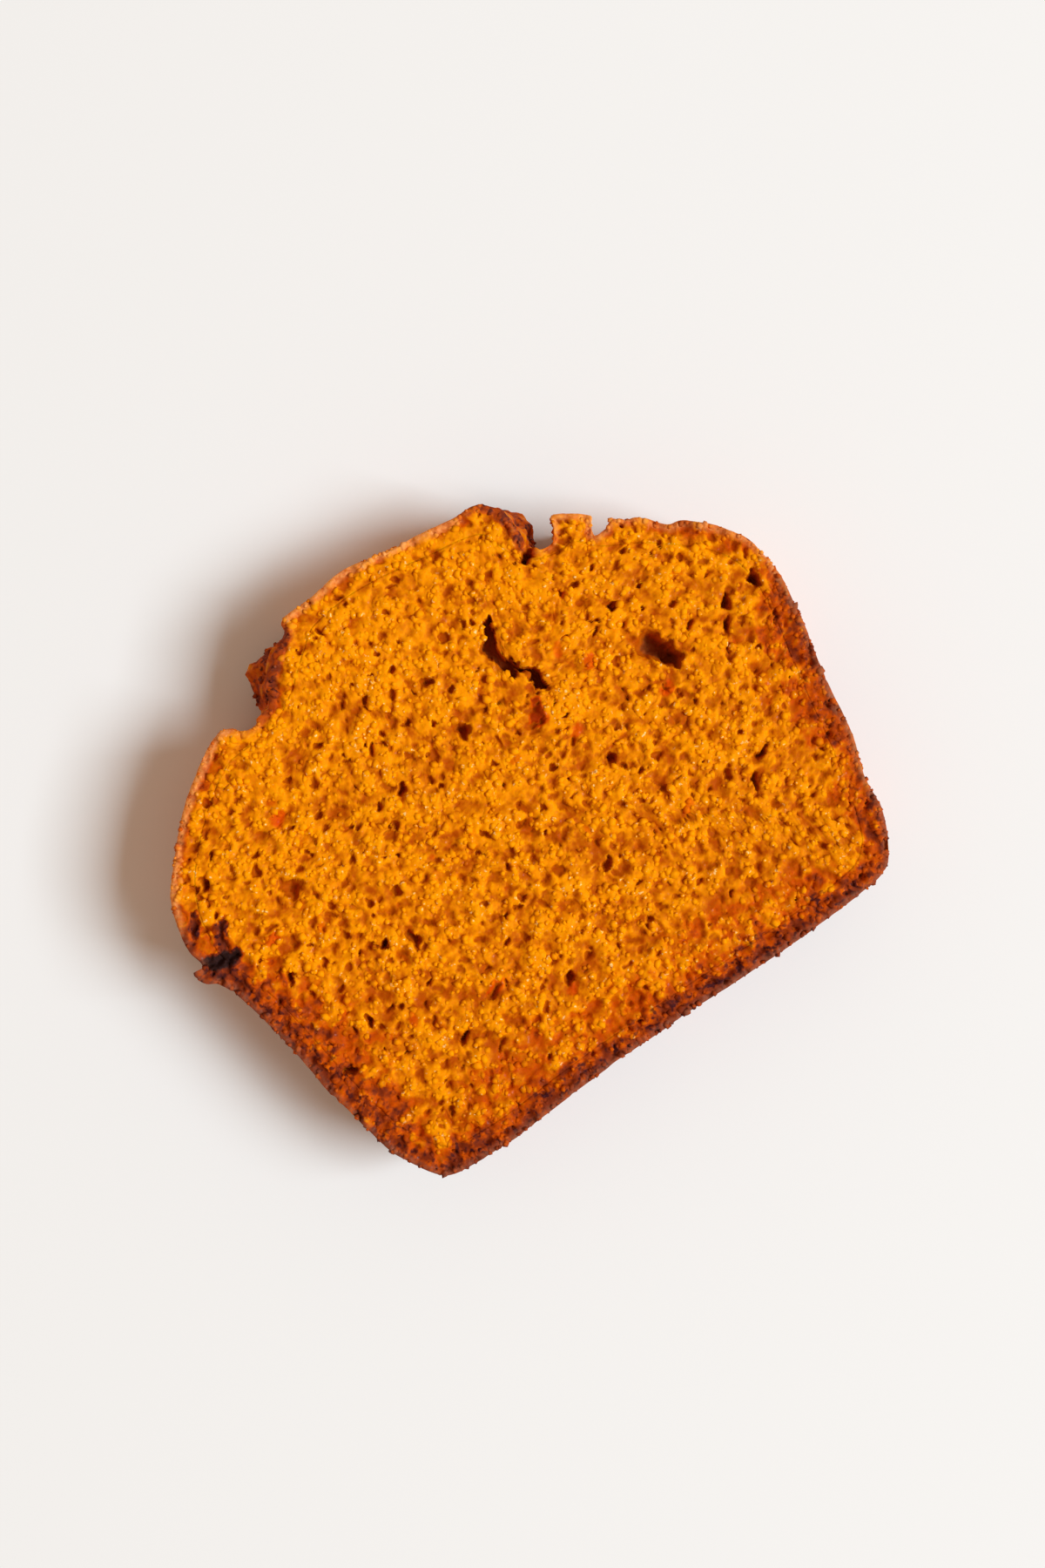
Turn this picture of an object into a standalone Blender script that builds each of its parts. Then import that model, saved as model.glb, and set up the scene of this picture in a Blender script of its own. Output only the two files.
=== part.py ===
"""A thick slice of pumpkin bread, lying on one of its two cut faces.

+X runs along the loaf's flat base crust, +Y goes up through the loaf to its split top, and
+Z is the thickness of the slice. The origin is under the middle of the slice, on the plane
that it lies on. The slice is one solid: its rim is the loaf's crust, with the baked-in cracks
of the domed top, and both cut faces are open crumb with round pores. The upper one also has
a long curved tear, and a burnt crevice behind the lip that the pan's edge left.
"""

import math
import random

import bmesh
import bpy
import numpy as np
from mathutils import Matrix, Vector
from mathutils.geometry import delaunay_2d_cdt

MM = 0.001

# Driving sizes
WIDTH = 115.7 * MM
HEIGHT = 92.6 * MM
THICKNESS = 20 * MM

# The rim of the slice, counterclockwise from the left end of the base crust. Each point is
# (x, y, chip) in millimetres from the middle of the slice: chip is how far the upper cut face
# stops short of the rim, where the crust broke away in a slope.
BASE_CRUST = [(-41, -45.2, 0), (-31.5, -46, 0), (-14, -45.2, 0), (4, -45.2, 0), (22, -45.6, 0), (36, -45.3, 0)]
RIGHT_HEEL = [(43, -44.9, 0), (45.6, -43.6, 0), (49.6, -36.6, 0)]
RIGHT_SIDE = [(50.5, -30.5, 0), (52.9, -22.8, 0), (53.9, -15, 0), (57.2, 0, 0)]
RIGHT_SHOULDER = [(57.9, 8.5, 0), (56.6, 13.6, 0), (49.7, 21.2, 0)]
SHOULDER_STEP = [(47.7, 21.8, 0), (44.6, 25.6, 0), (41.9, 27, 0), (40.7, 28.1, 0), (39.2, 27.5, 0)]
CRUST_BLOCK = [(36.9, 27.2, 0), (37, 28.7, 0), (38.2, 30.7, 0), (33, 33.9, 0), (32, 33.3, 0), (31.2, 31.4, 0)]
RIGHT_CRACK = [(30.2, 30.4, 0), (28.9, 30.4, 1)]
RIGHT_BREAK = [(28.7, 32, 2.6), (29.4, 35.6, 3), (28.9, 38, 2.6), (24.2, 41.9, 0)]
DOME = [(18.3, 42.8, 0), (9.5, 44.3, 0), (-0.6, 45.9, 0), (-6.5, 45.4, 0), (-13.6, 44.9, 0.4)]
LEFT_BREAK = [(-15.2, 43.7, 2), (-19.5, 43.4, 4.6), (-22.5, 42.4, 6), (-24.9, 37.6, 4.2), (-25.5, 34.7, 3)]
LEFT_CRACK = [(-27, 33.3, 0.6), (-29, 33.7, 0)]
LEFT_SHOULDER = [(-30.2, 35.3, 0), (-32.2, 35.7, 0), (-43.9, 28.6, 0), (-49.3, 23.5, 0), (-53.8, 17.9, 0)]
PAN_LIP = [(-55.7, 12.4, 0), (-56, 7.2, 0), (-57.6, 5.3, 0), (-57.4, 3.8, 0), (-55.3, 2, 0)]
LEFT_SIDE = [(-53.7, -0.8, 0), (-51, -16, 0), (-50.2, -23, 0), (-47.6, -36, 0)]
LEFT_HEEL = [(-46.2, -39.3, 0), (-42.9, -44.4, 0)]
RIM = (
    BASE_CRUST + RIGHT_HEEL + RIGHT_SIDE + RIGHT_SHOULDER + SHOULDER_STEP + CRUST_BLOCK + RIGHT_CRACK
    + RIGHT_BREAK + DOME + LEFT_BREAK + LEFT_CRACK + LEFT_SHOULDER + PAN_LIP + LEFT_SIDE + LEFT_HEEL
)
STEPS_PER_SPAN = 16
CRACKED_TOP = 26 * MM  # above this height on the loaf the rim has its cracks
BREAK_CENTRE = (2 * MM, 35 * MM)  # the broken slopes lean away from this point
BREAK_DEPTH = 0.42  # a broken slope has reached the rim at this share of the thickness

# The large pores of the upper cut face: (x, y, length, width, turn in degrees, depth), in
# millimetres from the middle of the slice
LARGE_PORES = [
    (34.7, 7.6, 5.2, 4.4, 100, 5.5),
    (35.7, 3.4, 3.6, 2.9, 120, 7),
    (53.9, 7, 3.2, 2.2, 80, 4.5),
    (48.7, 6.3, 3.4, 1.9, 55, 3.6),
    (46.2, 3, 3.4, 1.6, 50, 3),
    (32.2, 16.2, 2.4, 1.8, -20, 3),
    (25.4, 30.7, 3.2, 1.8, 30, 4.5),
    (0.5, 13.6, 3.2, 2.1, 60, 3.6),
    (0.8, 23, 2.7, 1.9, 10, 2.4),
    (-13.1, 10.9, 2, 1.8, 0, 3),
    (-36.9, 7.8, 3.6, 3.1, 90, 2.6),
    (-39.9, 13.4, 2.8, 2.2, 60, 1.8),
    (-48.1, 16.6, 3.2, 1.7, 65, 2.6),
    (-25.3, -9.9, 4, 1.8, 94, 3.6),
    (-29.4, -7.7, 2.2, 1.7, 10, 4),
    (-45.3, -4, 2.6, 1.7, 100, 3.4),
    (-38.5, -16.9, 2.5, 1.6, 95, 3),
    (-46.1, -21.8, 3, 1.7, -25, 3.4),
    (-27.4, -27.8, 2.8, 1.9, 20, 3),
    (-7.7, -29.8, 2.8, 1.8, 15, 3),
    (18.4, -4, 2.4, 1.8, 0, 3),
    (38.9, -17.3, 2.8, 1.8, 20, 3.2),
    (35.6, -20.6, 3.8, 1.4, 65, 2.6),
]
# Long openings of the upper cut face, as (x, y, half width) along each, in millimetres
TEAR_TOP = [(14.8, 26.9, 0.3), (13.6, 24.8, 1), (12, 22.2, 1.6), (12.2, 18.8, 1.5)]
TEAR_FOOT = [(13.6, 16.2, 1.1), (15.4, 14.2, 1.7), (16.5, 12.6, 0.4)]
TEAR_DEPTH = 8 * MM
CREVICE = [(-53.4, 2.6, 0.3), (-51.8, 4.8, 1.7), (-50.5, 7.4, 1.3), (-50, 9.6, 0.9), (-50.6, 11.4, 0.3)]
CREVICE_DEPTH = 5 * MM
GROOVE_SIDES = 10
GROOVE_RINGS = 3  # rings along each span of a groove

SMALL_PORE = (1.2 * MM, 2.1 * MM)  # least and greatest width
PORES_ABOVE = 40
PORES_BELOW = 46
PORES_IN_CRUST = 14
PORE_LUMPS = (0.84, 1.12)  # least and greatest share of a pore's radius at its corners
PORE_MARGIN = 2.2 * MM
ROUND_PORE = 3.3 * MM  # pores longer than this have more sides

RIM_SPACING = 2.3 * MM
CRACK_SPACING = 1.25 * MM
CRUMB_SPACING = 3.6 * MM
CRUMB_SHAKE = 0.22  # of the spacing
RIM_ROWS = (0, 0.07, 0.2, 0.42, 0.7, 1)  # shares of the thickness, from above
CRUMB_RELIEF = 0.45 * MM
CRUST_RELIEF = 0.35 * MM
RELIEF_SIZE = 5 * MM
SEED = 7

BREAD_COLOUR = (0.72, 0.3, 0.03, 1)
BREAD_ROUGHNESS = 0.85


def clear_scene():
    for old in list(bpy.data.objects):
        bpy.data.objects.remove(old)


def bread_material():
    material = bpy.data.materials.new("bread")
    material.use_nodes = True
    shader = material.node_tree.nodes["Principled BSDF"]
    shader.inputs["Base Color"].default_value = BREAD_COLOUR
    shader.inputs["Roughness"].default_value = BREAD_ROUGHNESS
    shader.inputs["Metallic"].default_value = 0
    return material


def random_at(cells, seed):
    """A fixed random number from -1 to 1 for each row of three whole numbers."""
    cells = cells.astype(np.int64)
    mixed = cells[:, 0] * 73856093 ^ cells[:, 1] * 19349663 ^ cells[:, 2] * 83492791 ^ seed * 2654435
    mixed = ((mixed ^ (mixed >> 13)) * 1274126177) & 0xFFFFFFFF
    return ((mixed ^ (mixed >> 15)) & 0xFFFF) / 32767.5 - 1


def soft_noise(points, size, seed):
    """Smooth noise from -1 to 1: the random numbers at the corners round each point, blended."""
    scaled = points / size
    cell = np.floor(scaled)
    share = scaled - cell
    share = share * share * (3 - 2 * share)
    total = np.zeros(len(scaled))
    for corner in np.ndindex(2, 2, 2):
        weight = np.prod(np.where(corner, share, 1 - share), axis=1)
        total += weight * random_at(cell + corner, seed)
    return total


def smooth_through(drawn, closed):
    """A dense curve through drawn points, whose first two numbers are x and y.

    Each span is a centripetal Catmull-Rom curve: its knots are spaced by the square root of
    the distance, so it rounds tight corners without overshooting.
    """
    if closed:
        ends = np.vstack([drawn[-1:], drawn, drawn[:2]])
    else:
        ends = np.vstack([2 * drawn[:1] - drawn[1:2], drawn, 2 * drawn[-1:] - drawn[-2:-1]])
    p0, p1, p2, p3 = (ends[k : len(ends) - 3 + k, None] for k in range(4))

    def knot_gap(a, b):
        return np.sqrt(np.linalg.norm((b - a)[..., :2], axis=-1, keepdims=True))

    t1 = knot_gap(p0, p1)
    t2 = t1 + knot_gap(p1, p2)
    t3 = t2 + knot_gap(p2, p3)
    t = t1 + (t2 - t1) * np.linspace(0, 1, STEPS_PER_SPAN, endpoint=False)[None, :, None]
    a1 = (t1 - t) / t1 * p0 + t / t1 * p1
    a2 = (t2 - t) / (t2 - t1) * p1 + (t - t1) / (t2 - t1) * p2
    a3 = (t3 - t) / (t3 - t2) * p2 + (t - t2) / (t3 - t2) * p3
    b1 = (t2 - t) / t2 * a1 + t / t2 * a2
    b2 = (t3 - t) / (t3 - t1) * a2 + (t - t1) / (t3 - t1) * a3
    return ((t2 - t) / (t2 - t1) * b1 + (t - t1) / (t2 - t1) * b2).reshape(-1, drawn.shape[1])


def spaced_rim():
    """The rim at its working spacing, closer together along the cracks, as (x, y, chip)."""
    curve = smooth_through(np.array(RIM, float) * MM, closed=True)
    curve = np.vstack([curve, curve[:1]])
    steps = np.linalg.norm(np.diff(curve[:, :2], axis=0), axis=1)
    spacing = np.where(curve[:-1, 1] > CRACKED_TOP, CRACK_SPACING, RIM_SPACING)
    walked = np.concatenate([[0], np.cumsum(steps / spacing)])
    at = np.linspace(0, walked[-1], int(walked[-1]), endpoint=False)
    return np.stack([np.interp(at, walked, column) for column in curve.T], axis=1)


def outward(loop):
    """The unit normal of a counterclockwise loop at each of its points, in the plane."""
    along = np.roll(loop, -1, axis=0) - np.roll(loop, 1, axis=0)
    normal = np.stack([along[:, 1], -along[:, 0]], axis=1)
    return normal / np.linalg.norm(normal, axis=1, keepdims=True)


def crust_rows(rim):
    """The rim's rows from above to below, as points in space that just fill the driving sizes.

    The upper rows draw back along the broken slopes, and soft noise leaves the crust uneven.
    """
    flat = rim[:, :2]
    inward = np.array(BREAK_CENTRE) - flat
    inward /= np.linalg.norm(inward, axis=1, keepdims=True)
    rows = []
    for share in RIM_ROWS:
        drawn_back = max(0, 1 - share / BREAK_DEPTH)
        moved = flat + inward * rim[:, 2:] * drawn_back
        row = np.column_stack([moved, np.full(len(rim), THICKNESS * (1 - share))])
        bulge = CRUST_RELIEF * soft_noise(row, RELIEF_SIZE, SEED)
        row[:, :2] += outward(flat) * bulge[:, None]
        rows.append(row)
    rows = np.array(rows)
    low = rows[..., :2].min(axis=(0, 1))
    high = rows[..., :2].max(axis=(0, 1))
    rows[..., :2] = (rows[..., :2] - (low + high) / 2) * np.array([WIDTH, HEIGHT]) / (high - low)
    return rows


def inside(points, loop):
    """Which points lie inside a closed loop, by counting the loop's edges to their right."""
    x, y = points[:, :1], points[:, 1:2]
    start, end = loop, np.roll(loop, -1, axis=0)
    rise = end[:, 1] - start[:, 1]
    spans = (start[:, 1] > y) != (end[:, 1] > y)
    crossing = start[:, 0] + (y - start[:, 1]) * (end[:, 0] - start[:, 0]) / np.where(rise == 0, 1, rise)
    return np.sum(spans & (x < crossing), axis=1) % 2 == 1


def gap_to(points, loop):
    return np.linalg.norm(points[:, None] - loop[None], axis=2).min(axis=1)


def crumb_points(loop):
    """Points of the upper cut face: a staggered grid, shaken a little, clear of its edge."""
    rng = np.random.default_rng(SEED)
    half = int(WIDTH / CRUMB_SPACING)
    column, row = np.meshgrid(np.arange(-half, half + 1), np.arange(-half, half + 1))
    grid = np.stack([column + 0.5 * (row % 2), row * math.sin(math.radians(60))], axis=-1).reshape(-1, 2)
    grid = (grid + rng.uniform(-CRUMB_SHAKE, CRUMB_SHAKE, grid.shape)) * CRUMB_SPACING
    return grid[inside(grid, loop) & (gap_to(grid, loop) > 0.6 * CRUMB_SPACING)]


def upper_face(mesh, loop):
    """Fills the loop of vertices with gently uneven crumb, as a Delaunay mesh of its points."""
    edge = np.array([vert.co[:2] for vert in loop])
    count = len(edge)
    points = [Vector(p) for p in np.vstack([edge, crumb_points(edge)])]
    edges = [(k, (k + 1) % count) for k in range(count)]
    flat, _, faces, sources, _, _ = delaunay_2d_cdt(points, edges, [], 1, 1e-7)
    level = np.array([(p.x, p.y, 0) for p in flat])
    heights = THICKNESS + CRUMB_RELIEF * soft_noise(level, RELIEF_SIZE, SEED + 1)
    verts = [
        loop[source[0]] if source[0] < count else mesh.verts.new((p.x, p.y, z))
        for p, z, source in zip(flat, heights, sources)
    ]
    for face in faces:
        mesh.faces.new([verts[k] for k in face])


def uncut_slice(rows):
    """The slice without its pores: crumb above, rows of crust round the rim, flat below."""
    mesh = bmesh.new()
    loops = [[mesh.verts.new(point) for point in row] for row in rows]
    for upper, lower in zip(loops, loops[1:]):
        for k, after in enumerate(list(range(1, len(upper))) + [0]):
            mesh.faces.new([upper[k], lower[k], lower[after], upper[after]])
    upper_face(mesh, loops[0])
    mesh.faces.new(loops[-1])
    bmesh.ops.recalc_face_normals(mesh, faces=mesh.faces)
    return mesh


def make_object(name, mesh, collection):
    data = bpy.data.meshes.new(name)
    mesh.to_mesh(data)
    mesh.free()
    made = bpy.data.objects.new(name, data)
    collection.objects.link(made)
    return made


def make_cutter(mesh, cutters):
    bmesh.ops.recalc_face_normals(mesh, faces=mesh.faces)
    cutter = make_object("cutter", mesh, cutters)
    cutter.hide_render = True
    cutter.display_type = "WIRE"


def pore(cutters, place, sizes, turn, rng):
    """A lumpy ball with its middle at place, and sizes its length, width and depth."""
    mesh = bmesh.new()
    rounds = 2 if sizes[0] > ROUND_PORE else 1
    bmesh.ops.create_icosphere(mesh, subdivisions=rounds, radius=0.5)
    for vert in mesh.verts:
        vert.co *= rng.uniform(*PORE_LUMPS)
    shape = Matrix.Rotation(turn, 4, "Z") @ Matrix.Diagonal((*sizes, 1))
    bmesh.ops.transform(mesh, matrix=Matrix.Translation(place) @ shape, verts=mesh.verts)
    make_cutter(mesh, cutters)


def groove(cutters, drawn, depth, rng):
    """A trench along a drawn path: a ring of points across it at each step, ends closed.

    Each ring is as wide as the path says there, and as deep as depth times the root of its
    share of the greatest width, so the trench grows shallow towards its ends.
    """
    path = smooth_through(np.array(drawn, float) * MM, closed=False)[:: STEPS_PER_SPAN // GROOVE_RINGS]
    widest = path[:, 2].max()
    along = np.gradient(path[:, :2], axis=0)
    across = np.column_stack([along[:, 1], -along[:, 0]])
    across /= np.linalg.norm(across, axis=1, keepdims=True)
    mesh = bmesh.new()
    rings = []
    for (x, y, half), (side_x, side_y) in zip(path, across):
        ring = []
        for k in range(GROOVE_SIDES):
            angle = math.tau * k / GROOVE_SIDES
            reach = half * math.cos(angle) * rng.uniform(*PORE_LUMPS)
            height = depth * math.sqrt(half / widest) * math.sin(angle)
            ring.append(mesh.verts.new((x + side_x * reach, y + side_y * reach, THICKNESS + height)))
        rings.append(ring)
    for ring, after in zip(rings, rings[1:]):
        for k in range(GROOVE_SIDES):
            n = (k + 1) % GROOVE_SIDES
            mesh.faces.new([ring[k], ring[n], after[n], after[k]])
    mesh.faces.new(rings[0])
    mesh.faces.new(rings[-1])
    make_cutter(mesh, cutters)


def scattered(loop, count, rng, taken):
    """Random spots on a cut face, clear of its edge and of the openings already there."""
    spots = []
    while len(spots) < count:
        spot = np.array([[rng.uniform(-0.5, 0.5) * WIDTH, rng.uniform(-0.5, 0.5) * HEIGHT]])
        crowded = gap_to(spot, np.array(taken + spots))[0] < 2 * PORE_MARGIN
        if inside(spot, loop)[0] and gap_to(spot, loop)[0] > PORE_MARGIN and not crowded:
            spots.append(tuple(spot[0]))
    return spots


def small_pore(cutters, place, rng):
    width = rng.uniform(*SMALL_PORE)
    sizes = (width * rng.uniform(1, 1.5), width, width * rng.uniform(1.4, 2.6))
    pore(cutters, place, sizes, rng.uniform(0, math.pi), rng)


def cut_openings(bread, rows):
    """Cuts the pores, the tear, the crevice and the crust's blisters with one Boolean."""
    rng = random.Random(SEED)
    cutters = bpy.data.collections.new("openings")
    bpy.context.scene.collection.children.link(cutters)
    taken = []
    for x, y, length, width, turn, depth in LARGE_PORES:
        place = Vector((x * MM, y * MM, THICKNESS - 0.15 * depth * MM))
        sizes = Vector((length, width, 1.7 * depth)) * MM
        pore(cutters, place, sizes, math.radians(turn), rng)
        taken.append((x * MM, y * MM))
    for drawn, depth in ((TEAR_TOP + TEAR_FOOT, TEAR_DEPTH), (CREVICE, CREVICE_DEPTH)):
        groove(cutters, drawn, depth, rng)
        taken += [(x * MM, y * MM) for x, y, _ in drawn]
    resting_spot = [(0, 0)]
    for height, count, others in ((THICKNESS, PORES_ABOVE, taken), (0, PORES_BELOW, resting_spot)):
        for x, y in scattered(rows[0][:, :2], count, rng, others):
            small_pore(cutters, Vector((x, y, height)), rng)
    smooth_crust = [point for point in rows[len(rows) // 2] if point[1] < CRACKED_TOP]
    for x, y, z in rng.sample(smooth_crust, PORES_IN_CRUST):
        small_pore(cutters, Vector((x, y, z + rng.uniform(-0.25, 0.25) * THICKNESS)), rng)
    cut = bread.modifiers.new("openings", "BOOLEAN")
    cut.operation = "DIFFERENCE"
    cut.operand_type = "COLLECTION"
    cut.collection = cutters


def main():
    clear_scene()
    rows = crust_rows(spaced_rim())
    bread = make_object("pumpkin_bread_slice", uncut_slice(rows), bpy.context.scene.collection)
    bread.data.materials.append(bread_material())
    cut_openings(bread, rows)


main()
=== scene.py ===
# %% [markdown]
# # A slice of pumpkin bread
# The slice lies on one cut face and we look straight down on the other. The imported model is
# the fixed frame: it says how wide and high the slice is, and its thickness is given here.
# Everything that shows is made here, at that size, and stands for the plain solid.

import math

import bmesh
import bpy
import numpy as np
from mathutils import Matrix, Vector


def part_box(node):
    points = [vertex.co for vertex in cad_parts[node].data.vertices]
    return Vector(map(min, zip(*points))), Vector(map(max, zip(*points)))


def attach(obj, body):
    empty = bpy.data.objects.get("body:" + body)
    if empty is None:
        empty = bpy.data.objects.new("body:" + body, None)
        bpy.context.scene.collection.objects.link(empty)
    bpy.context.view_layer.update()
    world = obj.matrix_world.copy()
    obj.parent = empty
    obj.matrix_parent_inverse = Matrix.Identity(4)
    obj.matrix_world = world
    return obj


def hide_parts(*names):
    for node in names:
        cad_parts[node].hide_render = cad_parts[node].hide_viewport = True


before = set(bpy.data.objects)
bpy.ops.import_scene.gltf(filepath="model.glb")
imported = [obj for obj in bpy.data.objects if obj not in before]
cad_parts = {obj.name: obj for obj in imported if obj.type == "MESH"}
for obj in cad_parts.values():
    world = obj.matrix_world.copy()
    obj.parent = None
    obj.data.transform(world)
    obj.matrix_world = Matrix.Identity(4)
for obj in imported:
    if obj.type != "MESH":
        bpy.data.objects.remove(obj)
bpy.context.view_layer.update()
MM = 0.001
NODE = "pumpkin_bread_slice"
low, high = (np.array(corner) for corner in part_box(NODE))
WIDTH, HEIGHT, _ = high - low
THICKNESS = 20 * MM
print("slice", (WIDTH / MM).round(1), "x", (HEIGHT / MM).round(1), "x", THICKNESS / MM, "mm")

# %% [markdown]
# ## Camera, floor and light
# The photograph looks straight down, with the base crust running up to the right, so the
# camera is turned rather than the bread. A 50 mm lens on a 36 mm sensor sees 0.72 of its
# distance along the long side of the picture. One wide soft light stands on the right, as a
# window does, and a pale sky fills the shadows.

# %% Camera
PICTURE_HEIGHT = 255.6 * MM  # of the cut face, from the top of the picture to its foot
BASE_TURN = math.radians(34.6)  # of the base crust, anticlockwise in the picture
PICTURE_CENTRE = (4.0 * MM, 0.65 * MM)
LENS = 50
SENSOR = 36
camera = bpy.data.objects.new("camera", bpy.data.cameras.new("camera"))
camera.data.lens = LENS
camera.data.sensor_width = SENSOR
camera.location = (*PICTURE_CENTRE, THICKNESS + PICTURE_HEIGHT * LENS / SENSOR)
camera.rotation_euler = (0, 0, -BASE_TURN)
bpy.context.scene.collection.objects.link(camera)
bpy.context.scene.camera = camera

# %% Floor and light
FLOOR_SIDE = 3.0
FLOOR_DROP = 0.05 * MM  # so that the floor and the lower face never share a plane
FLOOR_COLOUR = (0.84, 0.84, 0.835, 1)
FLOOR_ROUGHNESS = 0.9
FLOOR_SHINE = 0.1
LIGHT_FROM = math.radians(-5)  # in the picture, anticlockwise from its right
LIGHT_HEIGHT = math.radians(47)
LIGHT_DISTANCE = 5.0
LIGHT_SIDE = 2.3
LIGHT_POWER = 292
LIGHT_COLOUR = (0.80, 0.925, 1.0)
SKY_COLOUR = (1.0, 0.70, 0.50, 1)
SKY_STRENGTH = 0.44


def make_floor():
    """A square round the origin, wide enough to fill the picture."""
    half = FLOOR_SIDE / 2
    corners = [(-half, -half, 0), (half, -half, 0), (half, half, 0), (-half, half, 0)]
    mesh = bpy.data.meshes.new("floor")
    mesh.from_pydata(corners, [], [(0, 1, 2, 3)])
    floor = bpy.data.objects.new("floor", mesh)
    floor.location.z = -FLOOR_DROP
    bpy.context.scene.collection.objects.link(floor)
    paint = bpy.data.materials.new("floor")
    paint.use_nodes = True
    shader = paint.node_tree.nodes["Principled BSDF"]
    shader.inputs["Base Color"].default_value = FLOOR_COLOUR
    shader.inputs["Roughness"].default_value = FLOOR_ROUGHNESS
    shader.inputs["Specular IOR Level"].default_value = FLOOR_SHINE
    mesh.materials.append(paint)


def make_light():
    """A square lamp at the end of a slanting arm from the origin, turned to face it."""
    turn = LIGHT_FROM - BASE_TURN
    flat = LIGHT_DISTANCE * math.cos(LIGHT_HEIGHT)
    place = (flat * math.cos(turn), flat * math.sin(turn), LIGHT_DISTANCE * math.sin(LIGHT_HEIGHT))
    lamp = bpy.data.lights.new("window", "AREA")
    lamp.shape = "SQUARE"
    lamp.size = LIGHT_SIDE
    lamp.energy = LIGHT_POWER
    lamp.color = LIGHT_COLOUR
    window = bpy.data.objects.new("window", lamp)
    window.location = place
    window.rotation_euler = (0, math.pi / 2 - LIGHT_HEIGHT, turn)
    bpy.context.scene.collection.objects.link(window)


def make_sky():
    """The same pale light from all round, with colours shown as they are."""
    world = bpy.data.worlds.new("sky")
    world.use_nodes = True
    sky = world.node_tree.nodes["Background"]
    sky.inputs["Color"].default_value = SKY_COLOUR
    sky.inputs["Strength"].default_value = SKY_STRENGTH
    bpy.context.scene.world = world
    bpy.context.scene.view_settings.view_transform = "Standard"


make_floor()
make_light()
make_sky()
print("camera height", round(camera.location.z, 3), "m")

# %% [markdown]
# ## Noise
# Crumb is random but not formless. Three kinds of noise cover it: soft noise for gentle
# swells, the same noise summed over finer and finer sizes for roughness, and scattered
# seeds, which tell each point how far off its nearest seed lies, for lumps and pores. The
# random numbers come from the whole-number cell that a point is in, so that each run, and
# each piece that shares a stretch of surface, gets the same ones.

# %% Random numbers and soft noise
CELL_FACTORS = (73856093, 19349663, 83492791)
SEED_FACTOR = 2654435
STIR_FACTORS = (1274126177, 2246822519)
LOW_32_BITS = 0xFFFFFFFF
LOW_20_BITS = 0xFFFFF


def random_at(cells, seed):
    """A fixed random number from 0 to 1 for each row of whole numbers: each number times a
    large factor, mixed bit by bit, and stirred by shifts and two more factors."""
    cells = cells.astype(np.int64)
    mixed = np.full(cells.shape[:-1], seed * SEED_FACTOR, np.int64)
    for column, factor in enumerate(CELL_FACTORS[: cells.shape[-1]]):
        mixed ^= cells[..., column] * factor
    mixed = ((mixed ^ (mixed >> 13)) * STIR_FACTORS[0]) & LOW_32_BITS
    mixed = ((mixed ^ (mixed >> 16)) * STIR_FACTORS[1]) & LOW_32_BITS
    return ((mixed ^ (mixed >> 15)) & LOW_20_BITS) / LOW_20_BITS


def soft_noise(points, size, seed):
    """Noise from -1 to 1: the random numbers at the corners round each point, blended."""
    scaled = points / size
    cell = np.floor(scaled)
    share = scaled - cell
    share = share * share * (3 - 2 * share)
    total = np.zeros(len(scaled))
    for corner in np.ndindex(*(2,) * points.shape[1]):
        weight = np.prod(np.where(corner, share, 1 - share), axis=1)
        total += weight * (2 * random_at(cell + corner, seed) - 1)
    return total


def rough_noise(points, size, seed, rounds=4):
    """Soft noise, plus half as much at half the size, and so on for some rounds."""
    return sum(soft_noise(points, size / 2**k, seed + k) / 2**k for k in range(rounds))


def nearest_seed(points, size, seed):
    """The distance to the nearest of the seeds scattered one a cell, in cells, and its number."""
    scaled = points / size
    cell = np.floor(scaled)
    nearest = np.full(len(points), np.inf)
    number = np.zeros(len(points))
    for step in np.ndindex(*(3,) * points.shape[1]):
        home = cell + np.array(step) - 1
        place = home + np.stack([random_at(home, seed + k) for k in range(points.shape[1])], axis=-1)
        gap = np.linalg.norm(place - scaled, axis=1)
        closer = gap < nearest
        nearest = np.where(closer, gap, nearest)
        number = np.where(closer, random_at(home, seed + 9), number)
    return nearest, number


def ease(value, start, end):
    """0 below start, 1 above end, and a smooth rise between."""
    share = np.clip((value - start) / (end - start), 0, 1)
    return share * share * (3 - 2 * share)


# %% [markdown]
# ## The rim
# A loaf's outline is its pan below and its own burst top above, so it is drawn from listed
# points: straight flared sides, round shoulders, and the two cracks with the dome between them.
# A Catmull-Rom curve runs through the drawn points. Each point also says how far the upper
# face stops short there, because crust broke away along both cracks. Each stretch says how
# it was baked, and those numbers are blended along the curve as the places are.

# %% Drawn points, in millimetres from the middle of the slice
BASE_CRUST = [
    (-41, -45.2, 0), (-31.5, -46, 0), (-14, -45.2, 0), (4, -45.2, 0), (22, -45.6, 0), (36, -45.3, 0),
]
RIGHT_HEEL = [(43, -44.9, 0), (45.6, -43.6, 0), (49.6, -36.6, 0)]
RIGHT_FOOT = [(50.5, -30.5, 0), (52.9, -22.8, 0)]
RIGHT_SIDE = [(53.9, -15, 0), (57.2, 0, 0)]
RIGHT_SHOULDER = [(57.9, 8.5, 0), (56.6, 13.6, 0), (49.7, 21.2, 0)]
SHOULDER_STEP = [(47.7, 21.8, 0), (44.6, 25.6, 0), (41.9, 27, 0), (40.7, 28.1, 0), (39.2, 27.5, 0)]
CRUST_BLOCK = [
    (36.7, 27.3, 0), (37, 28.6, 0), (38.2, 30.1, 0), (38, 30.6, 0),
    (33, 34, 0), (32.4, 33.9, 0), (32, 32.8, 0), (31.2, 31.4, 0),
]
RIGHT_CRACK = [(30.2, 30.4, 0), (28.9, 30.4, 1)]
RIGHT_BREAK = [(28.7, 32, 2.6), (29.4, 35.6, 3), (28.9, 38, 2.6), (24.2, 41.9, 0)]
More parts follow.
